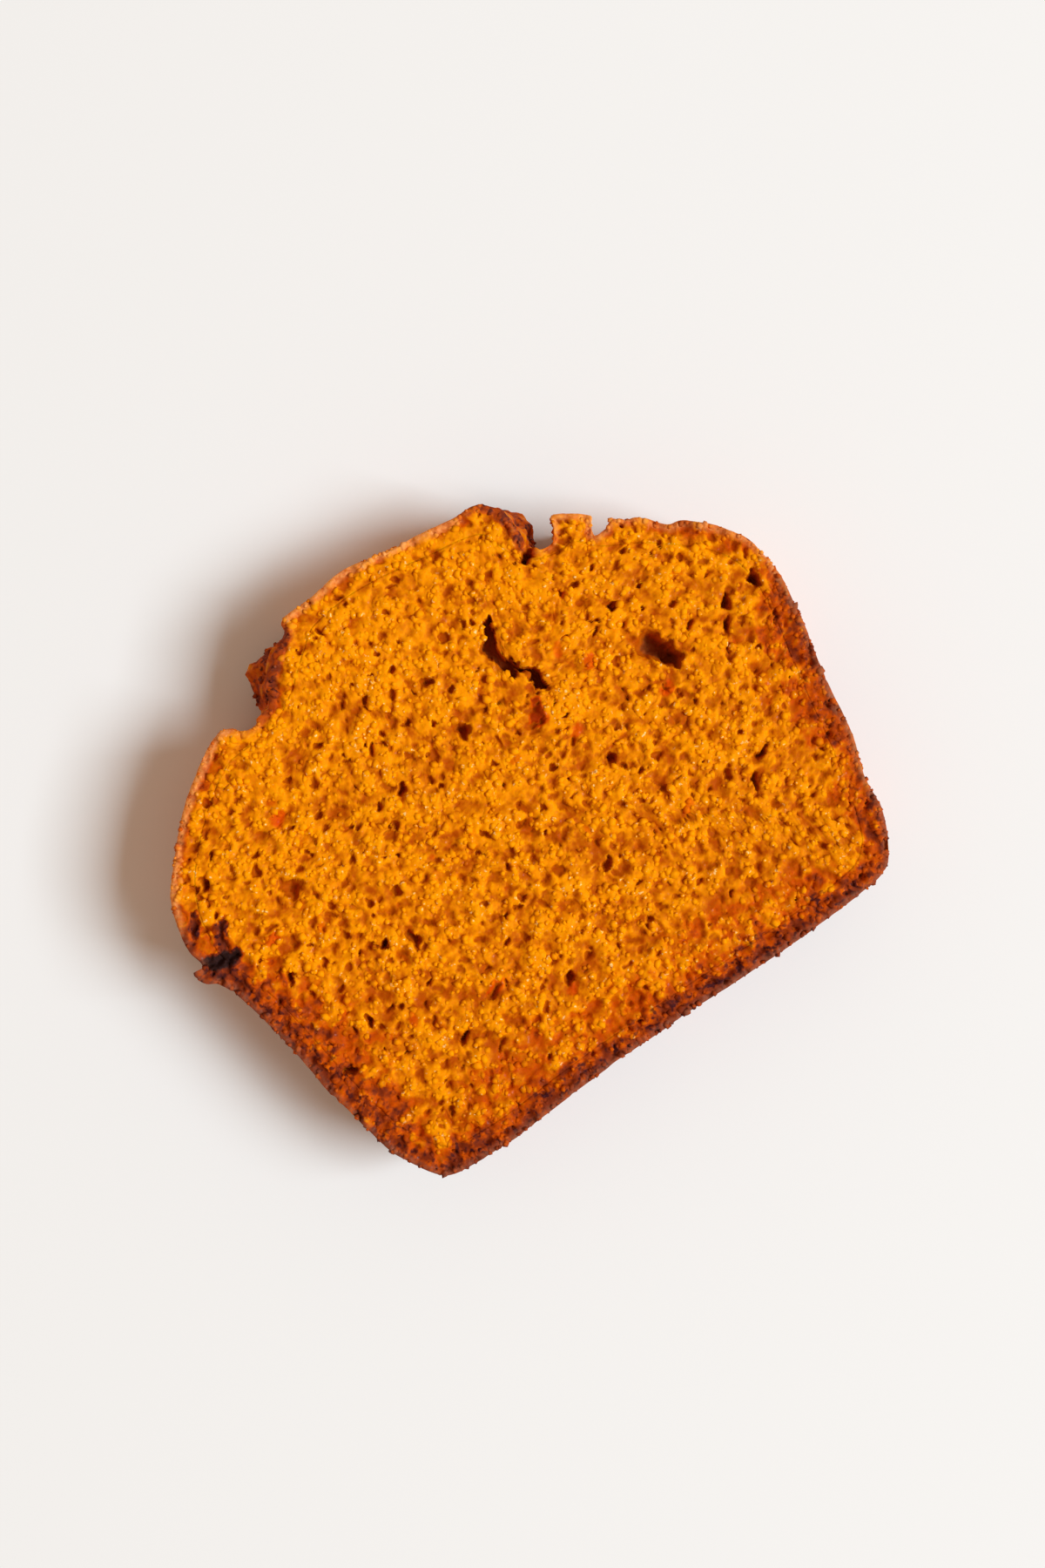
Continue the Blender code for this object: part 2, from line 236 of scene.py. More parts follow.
DOME = [(18.3, 42.8, 0), (9.5, 44.3, 0), (-0.6, 45.9, 0), (-6.5, 45.4, 0), (-13.6, 44.9, 0.4)]
LEFT_BREAK = [(-15.2, 43.7, 2), (-19.5, 43.4, 4.6), (-22.5, 42.4, 6), (-24.9, 37.6, 4.2), (-25.5, 34.7, 3)]
LEFT_CRACK = [(-27, 33.3, 0.6), (-29, 33.7, 0)]
LEFT_SHOULDER = [(-30.2, 35.3, 0), (-32.2, 35.7, 0), (-43.9, 28.6, 0), (-49.3, 23.5, 0), (-53.8, 17.9, 0)]
LIP_ROOT = [(-55.7, 12.4, 0)]
PAN_LIP = [(-56, 8.4, 0), (-55.6, 6.4, 0), (-56.1, 5.1, 0), (-57.7, 5.5, 0), (-57, 3.4, 0), (-55.1, 2, 0)]
LEFT_SIDE = [(-53.7, -0.8, 0)]
LEFT_MIDDLE = [(-51, -16, 0), (-50.2, -23, 0)]
LEFT_FOOT = [(-47.6, -36, 0)]
LEFT_HEEL = [(-46.2, -39.3, 0), (-42.9, -44.4, 0)]

# %% The stretches of the rim, anticlockwise from the left heel, and how each was baked
# The four numbers are how dark its skin is from 0 to 1, how many millimetres the browning
# reaches into the crumb, how coarse its surface is, and how many millimetres the loaf's
# side stands out below the cut
STRETCHES = [
    (BASE_CRUST, (0.86, 3.9, 0.5, 0)),
    (RIGHT_HEEL, (0.72, 3.2, 0.6, 0)),
    (RIGHT_FOOT, (0.62, 3.4, 0.75, 0)),
    (RIGHT_SIDE, (0.66, 5.0, 0.8, 0)),
    (RIGHT_SHOULDER, (0.5, 1.8, 1.02, 0)),
    (SHOULDER_STEP, (0.45, 1.4, 1.05, 0)),
    (CRUST_BLOCK, (0.3, 1.5, 1.0, 0)),
    (RIGHT_CRACK, (0.3, 0.7, 1.4, 0)),
    (RIGHT_BREAK, (0.8, 0.8, 1.6, 0)),
    (DOME, (0.34, 1.3, 0.9, 0.2)),
    (LEFT_BREAK, (0.8, 1.0, 1.6, 0)),
    (LEFT_CRACK, (0.3, 0.7, 1.4, 0)),
    (LEFT_SHOULDER, (0.42, 1.8, 0.9, 0.25)),
    (LIP_ROOT, (0.62, 1.9, 0.95, 0)),
    (PAN_LIP, (0.8, 2.2, 1.0, 0)),
    (LEFT_SIDE, (0.76, 4.4, 0.7, 0)),
    (LEFT_MIDDLE, (0.74, 6.8, 0.7, 0)),
    (LEFT_FOOT, (0.74, 5.4, 0.7, 0)),
    (LEFT_HEEL, (0.76, 4.0, 0.6, 0)),
]
LENGTHS = [0, 1, 2, 4, 6]  # the columns in millimetres: x, y, broken away, reach, standing out

# %% Curves
STEPS_PER_SPAN = 40


def knot_gap(a, b):
    """The square root of the distance between the places in two arrays of rows."""
    return np.sqrt(np.linalg.norm((b - a)[..., :2], axis=-1, keepdims=True))


def smooth_through(drawn, closed=True):
    """A dense curve through drawn points: centripetal Catmull-Rom, with knots spaced by the
    square root of the distance, so that it rounds tight corners without overshooting."""
    if closed:
        ends = np.vstack([drawn[-1:], drawn, drawn[:2]])
    else:
        ends = np.vstack([2 * drawn[:1] - drawn[1:2], drawn, 2 * drawn[-1:] - drawn[-2:-1]])
    p0, p1, p2, p3 = (ends[k : len(ends) - 3 + k, None] for k in range(4))
    t1 = knot_gap(p0, p1)
    t2 = t1 + knot_gap(p1, p2)
    t3 = t2 + knot_gap(p2, p3)
    t = t1 + (t2 - t1) * np.linspace(0, 1, STEPS_PER_SPAN, endpoint=False)[None, :, None]
    a1 = (t1 - t) / t1 * p0 + t / t1 * p1
    a2 = (t2 - t) / (t2 - t1) * p1 + (t - t1) / (t2 - t1) * p2
    a3 = (t3 - t) / (t3 - t2) * p2 + (t - t2) / (t3 - t2) * p3
    b1 = (t2 - t) / t2 * a1 + t / t2 * a2
    b2 = (t3 - t) / (t3 - t1) * a2 + (t - t1) / (t3 - t1) * a3
    return ((t2 - t) / (t2 - t1) * b1 + (t - t1) / (t2 - t1) * b2).reshape(-1, drawn.shape[1])


def walked(curve):
    """How far along a closed curve each of its points is, and last the whole way round."""
    steps = np.linalg.norm(np.diff(np.vstack([curve, curve[:1]])[:, :2], axis=0), axis=1)
    return np.concatenate([[0], np.cumsum(steps)])


def resampled(curve, measure, count):
    """count rows of a closed curve at equal steps of a measure that grows along it."""
    closed = np.vstack([curve, curve[:1]])
    at = np.linspace(0, measure[-1], count, endpoint=False)
    return np.stack([np.interp(at, measure, column) for column in closed.T], axis=1)


def softened(curve, reach):
    """A closed curve blurred along its length by a bell of this reach, in steps."""
    wave = np.fft.rfftfreq(len(curve))
    bell = np.exp(-2 * (math.pi * wave * reach) ** 2)
    return np.fft.irfft(np.fft.rfft(curve, axis=0) * bell[:, None], len(curve), axis=0)


def outward(loop):
    """The unit normal of an anticlockwise loop at each of its points, in the plane."""
    along = np.roll(loop, -1, axis=0) - np.roll(loop, 1, axis=0)
    normal = np.stack([along[:, 1], -along[:, 0]], axis=1)
    return normal / np.linalg.norm(normal, axis=1, keepdims=True)


# %% Rim and crust line
BREAK_CENTRE = np.array([2.0, 35.0]) * MM  # broken crust is drawn back towards this place
ACROSS = 332  # cells of the crumb's grid along the base crust
UP = 268  # cells of the crumb's grid along the sides
ROUND = 2 * (ACROSS + UP)
FINE_ROUND = 4 * ROUND
FIRST_CORNER = np.array([-43.9, -43.2]) * MM  # where the grid's first corner lies
CRUST_WIDTH = 3.6 * MM
INNER_SOFTNESS = 4.0 * MM
BAKED_SOFTNESS = 3  # this and the next two in steps along the rim
LEAN_SOFTNESS = 8
NORMAL_SOFTNESS = 2
PAN_SWELL = 0.28 * MM  # how far a dark skin rises past its drawn line
LEAN_SHARE = 0.4  # of the lean that lies outside the drawn line

drawn = np.array([(*point, *baked) for stretch, baked in STRETCHES for point in stretch], float)
drawn[:, LENGTHS] *= MM
curve = smooth_through(drawn)
curve = resampled(curve, walked(curve), FINE_ROUND)
step = walked(curve)[1]
drawn_back = BREAK_CENTRE - curve[:, :2]
drawn_back = drawn_back / np.linalg.norm(drawn_back, axis=1, keepdims=True)
top_edge = curve[:, :2] + drawn_back * curve[:, 2:3]
inner = softened(top_edge, INNER_SOFTNESS / step)
inner -= outward(inner) * CRUST_WIDTH
both = np.hstack([curve, drawn_back, inner])
both = resampled(both, 0.5 * (walked(curve) + walked(inner)), ROUND)
first = np.argmin(np.linalg.norm(both[:, :2] - FIRST_CORNER, axis=1))
both = np.roll(both, -first, axis=0)
rim, chip = both[:, :2], both[:, 2:3]
baked = softened(both[:, 3:6], BAKED_SOFTNESS)
lean = softened(both[:, 6:7], LEAN_SOFTNESS)
drawn_back, crust_line = both[:, 7:9], both[:, 9:11]
rim_normal = outward(softened(rim, NORMAL_SOFTNESS))
swell = PAN_SWELL * ease(baked[:, :1], 0.4, 0.7) * (chip < 0.1 * MM)
rim = rim + rim_normal * (swell + LEAN_SHARE * lean)
print("rim", (walked(rim)[-1] / MM).round(), "mm, crust line", (walked(crust_line)[-1] / MM).round(), "mm")

# %% [markdown]
# ## A cut face
# A knife tears quick bread more than it cuts it, so the face is lumps, not a plane. Its
# height is a sum: broad swells, then rounded granules packed side by side, then fine
# roughness, less the pores. Pores that stand out in the photograph are listed one by one and
# the rest are scattered. The same sum serves the crumb and the crust band around it, so
# nothing shows where the two pieces meet.

# %% Pores, as (x, y, length, width, turn in degrees, depth) in millimetres
LARGE_PORES = [
    (34.3, 7.2, 5.4, 4.6, 100, 7), (35, 5.6, 3.6, 4.2, 100, 7), (35.7, 4, 4.6, 3.4, 110, 7),
    (53.9, 7, 3.2, 2.2, 80, 4.5), (48.7, 6.3, 3.4, 1.9, 55, 3.6), (46.2, 3, 3.4, 1.6, 50, 3),
    (32.2, 16.2, 2.4, 1.8, -20, 3), (25.4, 30.7, 3.2, 1.8, 30, 4.5), (0.5, 13.6, 3.2, 2.1, 60, 3.6),
    (0.8, 23, 2.7, 1.9, 10, 2.4), (-13.1, 10.9, 2, 1.8, 0, 3), (-36.9, 7.8, 3.6, 3.1, 90, 2.6),
    (-39.9, 13.4, 2.8, 2.2, 60, 1.8), (-48.1, 16.6, 3.2, 1.7, 65, 2.6), (-25.3, -9.9, 4, 1.8, 94, 3.6),
    (-29.4, -7.7, 2.2, 1.7, 10, 4), (-45.3, -4, 2.6, 1.7, 100, 3.4), (-38.5, -16.9, 2.5, 1.6, 95, 3),
    (-46.1, -21.8, 3, 1.7, -25, 3.4), (-27.4, -27.8, 2.8, 1.9, 20, 3), (-7.7, -29.8, 2.8, 1.8, 15, 3),
    (18.4, -4, 2.4, 1.8, 0, 3), (38.9, -17.3, 2.8, 1.8, 20, 3.2), (35.6, -20.6, 3.8, 1.4, 65, 2.6),
]
MIDDLE_PORES = [
    (41.6, 6.9, 2, 1.6, 30, 1.6), (28.8, 15.8, 1.3, 1.1, 0, 1.4), (36, 13.4, 1.6, 1.2, 40, 1.5),
    (3.1, 19.9, 1.6, 1.3, 0, 1.5), (-2.9, 28.3, 2, 1.5, 20, 1.6), (-13, 28.3, 1.6, 1.3, 70, 1.5),
    (-6, 19.7, 2, 1.6, 10, 1.6), (-10, 20.6, 1.9, 1.1, 90, 1.5), (-12.3, 19.7, 1.4, 1.2, 0, 1.4),
    (-16.8, 10.9, 1.6, 1.3, 40, 1.5), (-22.8, 11, 1.4, 1.2, 0, 1.3), (-16.8, 7, 1.7, 1.4, 60, 1.5),
    (-7.5, 8.1, 1.7, 1.3, 0, 1.5), (-26.4, 15.2, 2, 1.5, 30, 1.5), (-31, 16.3, 1.3, 1.1, 0, 1.3),
    (-49.9, 16.8, 2, 1.4, 80, 1.5), (2.9, -8.4, 1.9, 1.5, 15, 1.6), (9.6, 0, 1.6, 1.2, 80, 1.5),
    (21.1, -8.4, 2, 1.5, 40, 1.7), (33.6, -1.9, 2, 1.6, 0, 1.7), (-5.8, -2.4, 2, 1.4, 90, 1.5),
    (-8.2, -4.8, 1.6, 1.2, 0, 1.4), (0, -4.8, 1.6, 1.3, 50, 1.4), (-22.6, -2.2, 2, 1.6, 0, 1.7),
    (-19.2, -24.5, 3.6, 1.8, 10, 1.8), (8, -18.2, 2.4, 1.8, 60, 1.9), (-7.7, -15.4, 2, 1.5, 20, 1.6),
    (8.6, -29.3, 2, 1.6, 70, 1.7), (32.2, -17.1, 2, 1.5, 0, 1.7), (-41.6, -16.8, 1.6, 1.2, 60, 1.5),
    (-34.8, -16.8, 1.6, 1.3, 0, 1.5), (-1.9, -38.9, 2, 1.5, 10, 1.6), (22.1, -33.3, 1.6, 0.9, 30, 1.3),
    (38.4, -31.7, 1.2, 1, 0, 1.2), (4.8, 39.1, 3.8, 0.9, 5, 0.9),
]

# %% The tear and the burnt strokes, as paths of (x, y, half width) in millimetres
TEAR_TOP = [(15.1, 26.3, 0.25), (13.4, 24.4, 0.9), (12.2, 21.1, 1.25), (12.7, 18.2, 1.15), (12.9, 16, 0.5)]
TEAR_FOOT = [(14, 17.4, 0.35), (14.8, 15.9, 0.85), (15.5, 14.3, 1.3), (16.1, 13.1, 1.15), (16.6, 12.2, 0.5)]
TEAR_DEPTH = 5.0 * MM
# Where batter burnt on to the pan behind the lip: paths, each with its depth in millimetres
# and how burnt it is
BURNT_STROKES = [
    ([(-55.2, 6.2, 0.5), (-53.8, 5.1, 1.0), (-52, 4.6, 1.2), (-50.3, 4.3, 0.7)], 1.6, 1.6),
    ([(-51.9, 4.8, 0.9), (-51.2, 7, 0.9), (-50.3, 8.8, 0.8), (-48.6, 10.1, 0.4)], 1.0, 1.15),
    ([(-53.6, 3.8, 0.8), (-52.8, 1.8, 0.9), (-51.9, 0, 0.7), (-51.3, -2, 0.4)], 0.5, 1.1),
    ([(-54.1, 10.6, 0.5), (-53.4, 11.6, 0.7), (-52.5, 13.3, 0.6)], 0.9, 1.1),
    ([(-57.6, 5.2, 0.5), (-56.4, 3.9, 0.9), (-54.6, 3, 0.9)], 0.2, 1.0),
]
BRIDGES = [(14.8, 17.5, 0.8), (14.3, 15.4, 0.8)]  # crumb that still spans the tear: x, y, radius
BRIDGE_DEPTH = 0.12  # of the tear's own depth

# %% Helpers for hollows and lumps
AT_ONCE = 4000  # places measured against a whole path in one go
PORE_GATHERING = 11 * MM
PORE_DRIFT = 0.3


def nearest_on(place, path):
    """The distance from each place to the nearest point of a dense path, and its number."""
    gap = np.zeros(len(place))
    number = np.zeros(len(place), int)
    for block in np.array_split(np.arange(len(place)), 1 + len(place) // AT_ONCE):
        square = ((place[block, None] - path[None]) ** 2).sum(axis=2)
        number[block] = square.argmin(axis=1)
        gap[block] = np.sqrt(square.min(axis=1))
    return gap, number


def ellipse_gap(place, x, y, length, width, turn):
    """How far each place is from an ellipse's middle, 0 there and 1 all round its edge: the
    offset along each axis in half lengths, and the root of the sum of their squares."""
    offset = place / MM - np.array([x, y])
    along = np.array([math.cos(math.radians(turn)), math.sin(math.radians(turn))])
    across = np.array([-along[1], along[0]])
    return np.hypot(offset @ along / (length / 2), offset @ across / (width / 2))


def pore_depth(place, pores):
    """How deep elliptical pores reach at each place: steep walls round a bowl."""
    depth = np.zeros(len(place))
    for x, y, length, width, turn, deep in pores:
        near = (np.abs(place - np.array([x, y]) * MM) < length * MM).all(axis=1)
        gap = ellipse_gap(place[near], x, y, length, width, turn)
        depth[near] = np.maximum(depth[near], deep * MM * (1 - ease(gap, 0.25, 1.12)))
    return depth


def across_groove(place, drawn_path):
    """The distance of each place from a path of x, y and half width, in half widths."""
    path = smooth_through(np.array(drawn_path), closed=False) * MM
    gap, number = nearest_on(place, path[:, :2])
    return gap / path[number, 2]


def groove_depth(place, drawn_path, deep, wall):
    """How deep a torn groove reaches at each place, with walls this share of its half width."""
    return deep * (1 - ease(across_groove(place, drawn_path), 1.1 - wall, 1.1))


def scattered_pores(place, cell, least, radius, deep, seed):
    """Round pores, one at most a cell, where the seed's number is above a least that drifts
    from place to place, so that pores gather here and thin out there. The seed's number also
    draws each pore's size and depth."""
    gap, number = nearest_seed(place, cell, seed)
    least = least + PORE_DRIFT * soft_noise(place, PORE_GATHERING, seed + 12)
    keep = ease(number, least, least + 0.02)
    size = radius * (0.6 + 0.7 * ((number * 97) % 1))
    return keep * deep * (0.6 + 0.6 * ((number * 31) % 1)) * (1 - ease(gap * cell / size, 0.3, 1.1))


def domes(place, size, seed):
    """Rounded granules packed side by side, 0 at their feet and 1 on top, and their numbers."""
    gap, number = nearest_seed(place, size, seed)
    return np.sqrt(np.clip(1 - (gap / 0.95) ** 2, 0, 1)) * (0.6 + 0.6 * number), number


# %% Height of a cut face
UPPER = 11  # the seed of each cut face's noise, which also says which face it is
LOWER = 60
PORE_WARP = 0.6 * MM  # how far noise bends every pore's outline
# Scattered pores: cell, least number that makes one, radius and depth
NARROW_PORES = (4.0 * MM, 0.55, 0.66 * MM, 1.15 * MM)
SHALLOW_PORES = (2.9 * MM, 0.40, 0.95 * MM, 0.65 * MM)
WIDE_PORES = (11 * MM, 0.35, 1.7 * MM, 3.2 * MM)
CLUMP = 2.3 * MM
GRANULE = 1.05 * MM


def placed_hollows(place):
    """Depth of the pores, burnt strokes and tear that stand out in the photograph."""
    depth = np.maximum(pore_depth(place, LARGE_PORES), pore_depth(place, MIDDLE_PORES))
    for path, deep, _ in BURNT_STROKES:
        depth = np.maximum(depth, groove_depth(place, path, deep * MM, 1.0))
    tear = np.maximum(*(groove_depth(place, path, TEAR_DEPTH, 0.4) for path in (TEAR_TOP, TEAR_FOOT)))
    for x, y, radius in BRIDGES:
        gap = np.linalg.norm(place - np.array([x, y]) * MM, axis=1)
        tear *= BRIDGE_DEPTH + (1 - BRIDGE_DEPTH) * ease(gap, 0.6 * radius * MM, 1.3 * radius * MM)
    return np.maximum(depth, tear)


def cut_face(place, seed):
    """Height above the cut plane, depth of the pores, and how far the lumps stand out. The
    height is swells, clumps, granules and roughness added up, less the pores."""
    warp = np.stack([rough_noise(place, 1.5 * MM, seed + k, 3) for k in (1, 2)], axis=1)
    bent = place + PORE_WARP * warp
    depth = scattered_pores(bent, *NARROW_PORES, seed + 3)
    depth = np.maximum(depth, scattered_pores(bent, *SHALLOW_PORES, seed + 4))
    if seed == UPPER:
        depth = np.maximum(depth, placed_hollows(bent))
    else:
        depth = np.maximum(depth, scattered_pores(bent, *WIDE_PORES, seed + 5))
    clump, _ = domes(bent, CLUMP, seed + 6)
    granule, _ = domes(bent, GRANULE, seed + 7)
    swell = 0.15 * soft_noise(place, 13 * MM, seed + 8)
    rough = 0.32 * rough_noise(place, 2.0 * MM, seed + 10, 3)
    raised = 0.75 * (clump - 0.7) + 0.3 * (granule - 0.6) + rough
    return MM * (swell + raised) - depth, depth, raised


print(len(LARGE_PORES) + len(MIDDLE_PORES), "pores placed by hand")

# %% [markdown]
# ## Browning
# Heat comes in through the skin. A pan wall is the hottest, so the base and the sides are
# dark and the colour reaches far into the crumb, while the domed top is thin and golden.
# Each place takes its colour from the nearest stretch of rim and how far off that is.

# %% The rim of each cut face
# The upper one is drawn back where crust broke away. On the lower one, bulges narrower than
# a few millimetres, such as the lip, flatten out, but not beside the cracks.
SHAVED_OVER = 3.0 * MM
top_rim = rim + drawn_back * chip - rim_normal * lean
rim_step = walked(rim)[-1] / ROUND
flatter = softened(rim, SHAVED_OVER / rim_step) - rim
bulge = softened(-(flatter * rim_normal).sum(axis=1, keepdims=True), 0.5 * SHAVED_OVER / rim_step)
whole = 1 - ease(softened(chip, SHAVED_OVER / rim_step), 0, 0.3 * MM)
low_rim = rim + flatter * ease(bulge, 0.02 * MM, 0.25 * MM) * whole
print("flattened by up to", (np.abs(low_rim - rim).max() / MM).round(2), "mm")

# %% How browned each place is, 0 for crumb and 1 for the darkest skin
SKIN_REACH = 0.25  # of a stretch's own reach, over which it is fully browned
FULL_REACH = 2.2  # of a stretch's own reach, where the last of its browning ends
FOOT_DARKENING = 0.33
FOOT_LEVEL = (-37 * MM, -29 * MM)  # where the darkening towards the foot fades
FOOT_ENDS = (30 * MM, 40 * MM)
# The band of the outermost skin, whose colour is its own dull one and a painted sheen
SKIN_AND_SHEEN_WIDTH = (0.3 * MM, 1.5 * MM)


def browned(place, edge, seed):
    """Browning of each place of a cut face, and how much it lies in the outermost skin, whose
    colour is its own dull one and a painted sheen: the nearest stretch's darkness, fading over
    its own reach by a ragged distance."""
    gap, number = nearest_on(place, edge[::2])
    dark, reach, coarse = baked[::2][number].T
    ragged = gap * (1 + 0.4 * soft_noise(place, 1.6 * MM, seed + 20))
    ragged += 0.3 * reach * rough_noise(place, 3.2 * MM, seed + 21, 2)
    brown = dark * (1 - ease(ragged, SKIN_REACH * reach, FULL_REACH * reach))
    # The crumb is also darker towards the foot, through the same browning colours.
    ragged_level = place[:, 1] + 3 * MM * soft_noise(place, 6 * MM, seed + 24)
    foot = (1 - ease(ragged_level, *FOOT_LEVEL)) * (1 - ease(np.abs(place[:, 0]), *FOOT_ENDS))
    brown = np.maximum(brown, FOOT_DARKENING * foot)
    if seed == UPPER:
        bent = 0.5 * soft_noise(place, 1.1 * MM, seed + 22) + 0.3 * soft_noise(place, 0.5 * MM, seed + 23)
        for path, _, burnt in BURNT_STROKES:
            brown = np.maximum(brown, burnt * (1 - ease(across_groove(place, path) + bent, 0.3, 2.5)))
    return brown, (1 - ease(gap, *SKIN_AND_SHEEN_WIDTH)) * (1 - 0.8 * ease(coarse, 0.92, 1.15))


# %% [markdown]
# ## Flecks of pumpkin
# Mashed pumpkin leaves small orange-red shreds. They are level with the crumb and differ in
# colour alone, so each is an ellipse whose distance is roughened by noise, and the mesh
# carries how much of each place is pumpkin.

# %% Flecks of pumpkin, as (x, y, length, width, turn in degrees, how red) in millimetres
FLECKS = [
    (-32.2, 18.7, 3.4, 2.6, 20, 1), (21.3, 15.4, 3.0, 2.0, 60, 0.7), (24.2, 11, 3.0, 2.4, 10, 1),
    (12.5, 8.8, 5, 3.2, 60, 1.7), (32.2, 0, 3.6, 2.2, 25, 1), (16.3, 2.9, 2.8, 1.8, 40, 0.8),
    (-43.8, 2.9, 3.4, 1.7, 15, 1), (-36.5, 0, 2.2, 1.6, 0, 0.6),
    (-8.2, -31.7, 2.6, 1.8, 30, 0.7), (8.6, -11.5, 2, 1.4, 120, 0.6), (-18.4, -24.2, 4.6, 2, 10, 1.1),
    (27, 22.5, 2.2, 1.5, 95, 0.6), (24.3, -17.5, 3.4, 1.8, 30, 0.7), (-32.6, -20.8, 3, 2.2, 50, 0.7),
    (5.2, 4.6, 2.8, 1.4, 5, 0.6), (-15, -0.8, 1.6, 1.2, 0, 0.6), (-31.5, 21.3, 2.4, 1.6, 150, 0.6),
]


def fleck_share(place, seed):
    """How much of each place is pumpkin: ellipses with ragged, soft edges. The lower face has
    the same ones, seen from the slice's other side."""
    place = place if seed == UPPER else -place
    ragged = 0.3 * soft_noise(place, 1.2 * MM, 30) + 0.2 * soft_noise(place, 0.5 * MM, 31)
    share = np.zeros(len(place))
    for x, y, length, width, turn, red in FLECKS:
        gap = ellipse_gap(place, x, y, length, width, turn)
        share = np.maximum(share, red * (1 - ease(gap + ragged, 0.5, 1.25)))
    return share


print(len(FLECKS), "flecks")

# %% [markdown]
# ## The three main surfaces
# The crumb of each cut face is a square grid stretched to the crust line: a point's ring on
# the square says how far out it lies, and its place on that ring says which way. The crust
# is a closed profile carried round the rim: up the top band, over a small rounded edge, down
# the side, and back along the lower face.

# %% Mesh helpers
VALUES = ("depth", "raised", "brown", "skin_and_sheen", "pumpkin")
FACE_SUNK = 0.3 * MM  # the mean face lies this far inside the slice, so that lumps stay in it
FACE_MOST = 0.6 * MM


def make_piece(name, points, faces, values):
    """A smooth mesh with one number of each kind in VALUES a point."""
    mesh = bpy.data.meshes.new(name)
    mesh.from_pydata(points.tolist(), [], faces)
    mesh.shade_smooth()
    for kind, numbers in zip(VALUES, values):
        mesh.attributes.new(kind, "FLOAT", "POINT").data.foreach_set("value", numbers.astype(np.float32))
    piece = bpy.data.objects.new(name, mesh)
    bpy.context.scene.collection.objects.link(piece)
    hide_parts(NODE)
    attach(piece, "root")
    return piece


def face_values(place, edge, seed):
    """Height and the five values of a cut face at each place."""
    height, depth, raised = cut_face(place, seed)
    brown, skin_and_sheen = browned(place, edge, seed)
    return height, np.stack([depth / MM, raised, brown, skin_and_sheen, fleck_share(place, seed)])


def face_level(height, seed):
    """The height above the floor of a cut face: the lower one rests on its highest lumps."""
    if seed == UPPER:
        return THICKNESS + np.minimum(height - FACE_SUNK, FACE_MOST)
    return np.maximum(FACE_SUNK - height, 0)


# %% Crumb of a cut face


def grid_map():
    """Number along the rim and share of the way out for each point of the square grid. The
    share is the larger of the two distances from the middle, and the number counts the
    grid's border points anticlockwise from its first corner."""
    row, column = np.divmod(np.arange((ACROSS + 1) * (UP + 1)), ACROSS + 1)
    a = 2 * column / ACROSS - 1
    b = 2 * row / UP - 1
    out = np.maximum(np.abs(a), np.abs(b))
    a, b = (np.divide(k, out, out=np.zeros(len(out)), where=out > 0) for k in (a, b))
    sides = [
        (b <= -1, (a + 1) / 2 * ACROSS),
        (a >= 1, ACROSS + (b + 1) / 2 * UP),
        (b >= 1, ACROSS + UP + (1 - a) / 2 * ACROSS),
        (a <= -1, 2 * ACROSS + UP + (1 - b) / 2 * UP),
    ]
    return np.select([side for side, _ in sides], [number for _, number in sides], 0), out


def make_crumb(name, seed, edge):
    """A cut face inside the crust line, with a hidden skirt and back that close it. Each
    point lies its share of the way from the origin to its own place on the crust line."""
    number, out = grid_map()
    first = np.floor(number).astype(int) % ROUND
    share = (number - np.floor(number))[:, None]
    place = out[:, None] * (crust_line[first] * (1 - share) + crust_line[(first + 1) % ROUND] * share)
    height, values = face_values(place, edge, seed)
    surface = np.column_stack([place, face_level(height, seed)])
    columns = ACROSS + 1
    corner = (np.arange(UP)[:, None] * columns + np.arange(ACROSS)).ravel()
    quads = np.stack([corner, corner + 1, corner + 1 + columns, corner + columns], axis=1)
    rim_points = np.concatenate([
        np.arange(ACROSS), np.arange(UP) * columns + ACROSS,
        UP * columns + np.arange(ACROSS, 0, -1), np.arange(UP, 0, -1) * columns,
    ])
    back = np.column_stack([surface[rim_points, :2], np.full(ROUND, THICKNESS / 2)])
    points = np.vstack([surface, back, [[0, 0, THICKNESS / 2]]])
    below = len(surface) + np.arange(ROUND)
    skirt = np.stack([rim_points, below, np.roll(below, -1), np.roll(rim_points, -1)], axis=1)
    fan = np.stack([np.roll(below, -1), below, np.full(ROUND, len(points) - 1)], axis=1)
    if seed != UPPER:
        quads, skirt, fan = quads[:, ::-1], skirt[:, ::-1], fan[:, ::-1]
    hidden = np.repeat(values[:, :1], ROUND + 1, axis=1)
    faces = quads.tolist() + skirt.tolist() + fan.tolist()
    return make_piece(name, points, faces, np.hstack([values, hidden]))


crumb_top = make_crumb("crumb_top", UPPER, top_rim)
crumb_base = make_crumb("crumb_base", LOWER, low_rim)
print("crumb", len(crumb_top.data.polygons), "faces a side")

# %% [markdown]
# ## Crust
# Pan-baked crust is wrinkled and pitted, and coarse crumb shows where it broke. Its profile
# has a band of each cut face, a quarter ellipse over each edge, and rows down the side.
# Noise in three dimensions moves each row out or in, so that nothing is stretched.

# %% The crust's sides
SIDE_ROWS = 38
SIDE_TOP = 0.96  # of the thickness
SIDE_FOOT = 0.035
SIDE_RELIEF = 0.34 * MM
LEAN_DEPTH = 0.1  # this and the next as a share of the way down
BREAK_DEPTH = 0.42
BREAK_RELIEF = 0.7 * MM
UNDERCUT = 0.15 * MM


def side_relief(points):
    """How far the crust stands out of its smooth side: wrinkles and roughness, less pits."""
    gap, number = nearest_seed(points, 2.1 * MM, 90)
    pits = 0.9 * (1 - ease(gap, 0.1, 0.32)) * (number > 0.55)
    return SIDE_RELIEF * (0.8 * rough_noise(points, 4.5 * MM, 91, 4) - pits)


